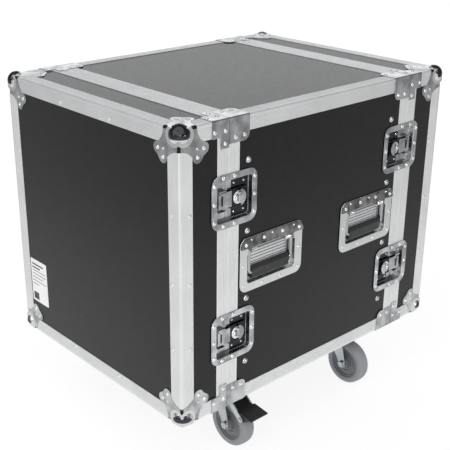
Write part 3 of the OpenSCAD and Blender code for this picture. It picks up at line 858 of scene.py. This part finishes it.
def handle_rivets():
    top_band = [(-70, 40.5), (-23.5, 44.5), (25.5, 44.5), (70.5, 40.5)]
    low_band = [(-75.5, -2), (73, -2), (-73, -43), (71.5, -43.5), (-24.5, -48.5), (23.5, -48.5)]
    parts = [(RIVET, Matrix.Translation((x, y, hood_face(y)))) for x, y in top_band]
    parts += [(FLAT_RIVET, Matrix.Translation((x, y, SHEET))) for x, y in low_band]
    hood_pins = [(-56, 48), (-2, 48), (56, 48)]
    parts += [(SMALL_RIVET, Matrix.Translation((x, y, hood_face(y)))) for x, y in hood_pins]
    return merged(*parts)


def spring(side):
    """Return spring wound round the bail's pivot."""
    coils, steps, pitch, r, start = 7, 14, 2.0, 4.2, 38
    path = []
    for i in range(coils * steps + 1):
        a = 2 * math.pi * i / steps
        path.append((side * (start + pitch * i / steps), BAIL_Z + r * math.cos(a), BAIL_W + r * math.sin(a)))
    return tube(path, 0.75, 6)


def bail():
    """Round rod bent to a U, with the pivot stubs at its upper ends."""
    bend = 8.0
    half = [(-ARM_X, BAIL_Z), (-ARM_X, BAIL_LOW + bend + 6)]
    half += arc(-ARM_X + bend, BAIL_LOW + bend, bend, 180, 270, 6)
    path = at_height(half, BAIL_W) + [(-x, y, BAIL_W) for x, y in reversed(half)]
    parts = [tube(path, BAIL_R, 16)]
    for side in (-1, 1):
        parts.append((uv_ball(BAIL_R, 16, 10), Matrix.Translation((side * ARM_X, BAIL_Z, BAIL_W))))
        parts.append(tube([(side * 54, BAIL_Z, BAIL_W), (side * 63, BAIL_Z, BAIL_W)], 3.0, 16))
    parts.append(tube([(-60, BAIL_Z, BAIL_W), (60, BAIL_Z, BAIL_W)], 1.9, 14))
    return merged(*parts)


def grip():
    """Moulded grip, thickest along a crease a little above its middle."""
    outline = [(13, -1.5), (12.2, 0.6), (6.6, 4.7), (4.8, 4.8), (-11, 3.4), (-13, 0.8), (-13, -1.8),
               (-11, -4.2), (11, -4.2)]
    bm = loft([[(x, BAIL_LOW + v, BAIL_W + w) for v, w in outline] for x in (-GRIP_HALF, GRIP_HALF)])
    bevel_sharp(bm, 0.9, segments=3, angle=12.0)
    return bm


def build_handles():
    at = on_side(HANDLE_Y, 0)
    fixed = {
        "recessed_handle_dishes": (handle_dish(), PAINTED_LIGHT_PLATING, "chrome"),
        "handle_hoods": (hood(), HOOD, "chrome"),
        "handle_rivets": (handle_rivets(), POLISHED, "chrome"),
        "handle_springs": (merged(spring(-1), spring(1)), POLISHED, "zinc"),
    }
    for name, (unit, material, slot) in fixed.items():
        parts = [(unit, place(end, side) @ at) for _, end, side in SPOTS]
        piece(name, parts, material, "root", ["handle_dishes"] if "dishes" in name else [])
    bail_unit, grip_unit = bail(), grip()
    for spot, end, side in SPOTS:
        body = f"handle_{spot}"
        here = place(end, side) @ at
        piece(f"bail_{spot}", [(bail_unit, here)], BAIL, body, [body])
        piece(f"grip_{spot}", [(grip_unit, here)], GRIP, body)


# ---- Castors ----
WHEEL_HALF = 16.0


def wheel_tyre(r, half):
    """Rounded tread with a bead where it grips the core."""
    side = [(36, half - 1.6), (38, half - 0.6), (42, half), (r - 3.4, half - 1.4), (r - 1.8, half - 3.4),
            (r - 0.8, half - 6.0), (r - 0.2, half - 10.0), (r, half - 15.0)]
    profile = [(a, -z) for a, z in side] + [(a, z) for a, z in reversed(side)]
    return revolve(profile + profile[:1], 72)


def wheel_core(half, hub_half):
    """Dished core, stepped in rings, with a raised hub."""
    side = [(36.4, half - 2.0), (34.8, half - 1.8), (34.0, half - 3.8), (31.0, half - 4.2),
            (30.2, half - 6.2), (22.5, half - 6.6), (22.0, half - 5.4), (19.5, half - 5.4),
            (19.0, half - 6.8), (15, half - 6.8), (14, half - 3.5), (13.2, hub_half - 0.6),
            (12.4, hub_half), (5.06, hub_half)]
    back = [(a, -z) for a, z in reversed(side)]
    return revolve(side + back + side[:1], 64)


def build_castors():
    for spot, _, _ in SPOTS:
        node = f"castor_wheel_{spot}"
        lo, hi = corners_of(node)
        here = Matrix.Translation((lo + hi) / 2) @ Matrix.Rotation(math.pi / 2, 4, "X")
        r, hub_half = (hi.z - lo.z) / 2, (hi.y - lo.y) / 2
        piece(f"tyre_{spot}", [(wheel_tyre(r, WHEEL_HALF), here)], TYRE, node, [node])
        piece(f"wheel_core_{spot}", [(wheel_core(WHEEL_HALF, hub_half), here)], CORE, node)
        fork = f"castor_fork_{spot}"
        piece(f"plated_{fork}", [refined(fork, 0.4)], ZINC, fork, [fork])
    piece("plated_castor_plates", [refined("castor_plates", 0.4)], ZINC, "root", ["castor_plates"])
    for side in SIDES:
        node = f"brake_pedal_{side}"
        piece(f"moulded_{node}", [refined(node, 0.4)], BLACK, node, [node])


# ---- Cover rails' rivets, label and foam ----
def upright_rivets(z):
    """Rivets at this height on both legs of the upright rail, as matrices."""
    return [on_front(HALF_W - RAIL_RIVET_IN, z), on_side(-HALF_D + RAIL_RIVET_IN, z)]


def rail_rivets():
    """Rivets on the rails of the front right upper corner, as matrices."""
    x, z = 78.8, 129.5
    return [on_front(x, HALF_H - RAIL_RIVET_IN), on_top(x, -HALF_D + RAIL_RIVET_IN)] + upright_rivets(z)


def build_cover_trim():
    for name, end in ENDS.items():
        parts = []
        for side in (-1, 1):
            for level in (-1, 1):
                parts += [(RIVET, place(end, side, level) @ at) for at in rail_rivets()]
            parts += [(RIVET, place(end, side) @ at) for at in upright_rivets(0.0)]
        piece(f"{name}_rail_rivets", parts, ALUMINIUM, f"{name}_cover")


def build_label():
    """Plain paper label low on the front cover, ruled with blank bars."""
    x0, x1, y0, y1, margin = -240.0, -178.0, -211.5, -110.5, 5
    at = place() @ on_front(0, 0, -SKIN)
    paper = prism(rounded_rect(x0, x1, y0, y1, 2.0), 0.0, 0.35)
    piece("front_label", [(paper, at)], PAPER, "front_cover")
    left = x0 + margin
    blocks = []
    for i, width in enumerate((44, 30, 52, 52, 40, 52, 24)):
        y = y1 - 10 - 8 * i
        height = 3.2 if i < 2 else 1.4
        blocks.append((left, left + width, y - height, y))
    blocks.append((left, left + 20, y0 + margin, y0 + 22))
    bars = [(prism(rounded_rect(*block, 0.3), 0.3, 0.45), at) for block in blocks]
    piece("front_label_bars", bars, INK, "front_cover")


FOAM_CELLS = 44
FOAM_CREST, FOAM_HOLLOW = 0.8, 3.0


def foam_pad(lo, hi, end):
    """Pad with crests and hollows on the face towards the case, low all round that face's edge."""
    inner, outer = (lo.y, hi.y) if end > 0 else (hi.y, lo.y)
    bm = bmesh.new()
    rows = []
    for i in range(FOAM_CELLS + 1):
        z = lo.z + (hi.z - lo.z) * i / FOAM_CELLS
        row = []
        for j in range(FOAM_CELLS + 1):
            x = lo.x + (hi.x - lo.x) * j / FOAM_CELLS
            on_edge = i in (0, FOAM_CELLS) or j in (0, FOAM_CELLS)
            drop = FOAM_HOLLOW if on_edge or (i + j) % 2 == 0 else FOAM_CREST
            row.append(bm.verts.new((x, inner + end * drop, z)))
        rows.append(row)
    for a, b in zip(rows, rows[1:]):
        for j in range(FOAM_CELLS):
            bm.faces.new((a[j], a[j + 1], b[j + 1], b[j]))
    edge = rows[0] + [r[-1] for r in rows[1:]] + rows[-1][-2::-1] + [r[0] for r in rows[-2:0:-1]]
    back = [bm.verts.new((v.co.x, outer, v.co.z)) for v in edge]
    for k in range(len(edge)):
        n = (k + 1) % len(edge)
        bm.faces.new((edge[k], edge[n], back[n], back[k]))
    bm.faces.new(back)
    return bm


def build_foam():
    for name, end in ENDS.items():
        node = f"{name}_cover_foam"
        shape = foam_pad(*corners_of(node), end)
        pad = piece(f"{name}_foam_lining", [shape], FOAM, f"{name}_cover", [node], smooth=60)


# ---- Boards and rack rails ----
def build_panels():
    """Laminated boards; the covers' have their corners cut back under the ball corners."""
    for node in ("left_panel", "right_panel", "top_panel", "bottom_panel"):
        piece(f"laminated_{node}", [refined(node, 0.3)], LAMINATE, "root", [node])
    for name, end in ENDS.items():
        node = f"{name}_cover_panels"
        boards = refined(node, 0.4)
        for side in (-1, 1):
            for level in (-1, 1):
                out = Vector((side, end, level)).normalized()
                ball = Vector((side * (HALF_W - BALL_IN), end * (HALF_D - BALL_IN),
                               MID_Z + level * (HALF_H - BALL_IN)))
                cut_away(boards, ball + out * (BALL_R - 2.0), out)
        piece(f"laminated_{name}_cover", [boards], LAMINATE, f"{name}_cover", [node])
    piece("painted_rack_rails", [refined("rack_rails", 0.2)], RAIL_PAINT, "root",
          ["rack_rails"])
    piece("plated_rail_bolts", [refined("rail_bolts", 0.3)], BOLT, "root", ["rail_bolts"])


# ---- Stage, light and camera, in metres ----
AZIMUTH, ELEVATION, ROLL = math.radians(47.75), math.radians(22.09), math.radians(0.38)
CAMERA_AT = (1.3553, -1.2528, 1.1172)
MIDDLE = (0, 0, 0.5)
SOFTBOXES = {      # place, width and height, power
    "back_wall": ((-2.9, 2.7, 2.3), (4.0, 2.2), 31),
    "key": ((-1.2, -3.4, 2.4), (2.2, 1.6), 7),
    "fill": ((3.6, 0.8, 2.2), (2.0, 1.6), 4),
    "glint_0": ((-0.4, -3.3, 0.95), (0.17, 0.22), 7),
    "glint_1": ((2.8, -1.9, 0.95), (0.17, 0.22), 7),
    "glint_2": ((3.1, 0.5, 0.55), (0.17, 0.22), 7),
}


def lamp(name, kind, location, power):
    """A light that shines at the middle of the case."""
    light = bpy.data.lights.new(name, kind)
    light.energy = power
    obj = bpy.data.objects.new(name, light)
    obj.location = location
    obj.rotation_euler = (Vector(MIDDLE) - Vector(location)).to_track_quat("-Z", "Y").to_euler()
    bpy.context.scene.collection.objects.link(obj)
    return light


def floor_glow(n):
    """The floor's emission, laid out along the main camera's azimuth but fixed in the scene.

    It is bright under the case and in a widening stretch behind it, and dimmer on both sides.
    """
    bright, dim = 0.87, 0.40
    near, far, widening = 0.6, 2.1, 0.32
    turned = n.tree.nodes.new("ShaderNodeMapping")
    turned.inputs["Rotation"].default_value = (0, 0, -AZIMUTH)
    n.link(n.coords, turned.inputs["Vector"])
    axes = n.tree.nodes.new("ShaderNodeSeparateXYZ")
    n.link(turned.outputs["Vector"], axes.inputs["Vector"])
    aside = n.maths("ABSOLUTE", axes.outputs["X"])
    behind = n.maths("MAXIMUM", axes.outputs["Y"], 0.0)
    spread = n.maths("MULTIPLY", behind, widening)
    return n.ranged(n.maths("SUBTRACT", aside, spread), bright, dim, near, far, "SMOOTHSTEP")


def build_floor():
    """A dark matt floor that is pale because it glows."""
    mesh = bpy.data.meshes.new("floor")
    reach = 30.0
    mesh.from_pydata([(-reach, -reach, 0), (reach, -reach, 0), (reach, reach, 0), (-reach, reach, 0)], [],
                     [(0, 1, 2, 3)])
    floor = bpy.data.objects.new("floor", mesh)
    bpy.context.scene.collection.objects.link(floor)
    n = Nodes("floor")
    n.colour(n.noise(0.5), (0.14, 0.14, 0.14), (0.15, 0.15, 0.15))
    n.set(Roughness=0.9, Emission_Color=(1, 1, 1, 1))
    n.link(floor_glow(n), n.shader.inputs["Emission Strength"])
    mesh.materials.append(n.material)


def build_light():
    world = bpy.data.worlds.new("world")
    bpy.context.scene.world = world
    world.use_nodes = True
    background = world.node_tree.nodes["Background"]
    background.inputs["Color"].default_value = (0.92, 0.96, 1.0, 1)
    background.inputs["Strength"].default_value = 0.28
    lamp("daylight", "SUN", (1.2, -1.6, 3.0), 2.0).angle = math.radians(100)
    for name, (location, size, power) in SOFTBOXES.items():
        light = lamp(name, "AREA", location, power)
        light.shape = "RECTANGLE"
        light.size, light.size_y = size
    bpy.context.scene.view_settings.view_transform = "Standard"


def build_camera():
    camera = bpy.data.cameras.new("camera")
    camera.sensor_width = 36.0
    camera.lens = 71.8
    camera.shift_x = 0.0093
    camera.shift_y = -0.0011
    obj = bpy.data.objects.new("camera", camera)
    turn = Matrix.Rotation(AZIMUTH, 4, "Z") @ Matrix.Rotation(math.pi / 2 - ELEVATION, 4, "X")
    obj.matrix_world = Matrix.Translation(CAMERA_AT) @ turn @ Matrix.Rotation(ROLL, 4, "Z")
    bpy.context.scene.collection.objects.link(obj)
    bpy.context.scene.camera = obj


build_panels()
build_extrusions()
build_corners()
build_latches()
build_handles()
build_castors()
build_cover_trim()
build_label()
build_foam()
build_floor()
build_light()
build_camera()
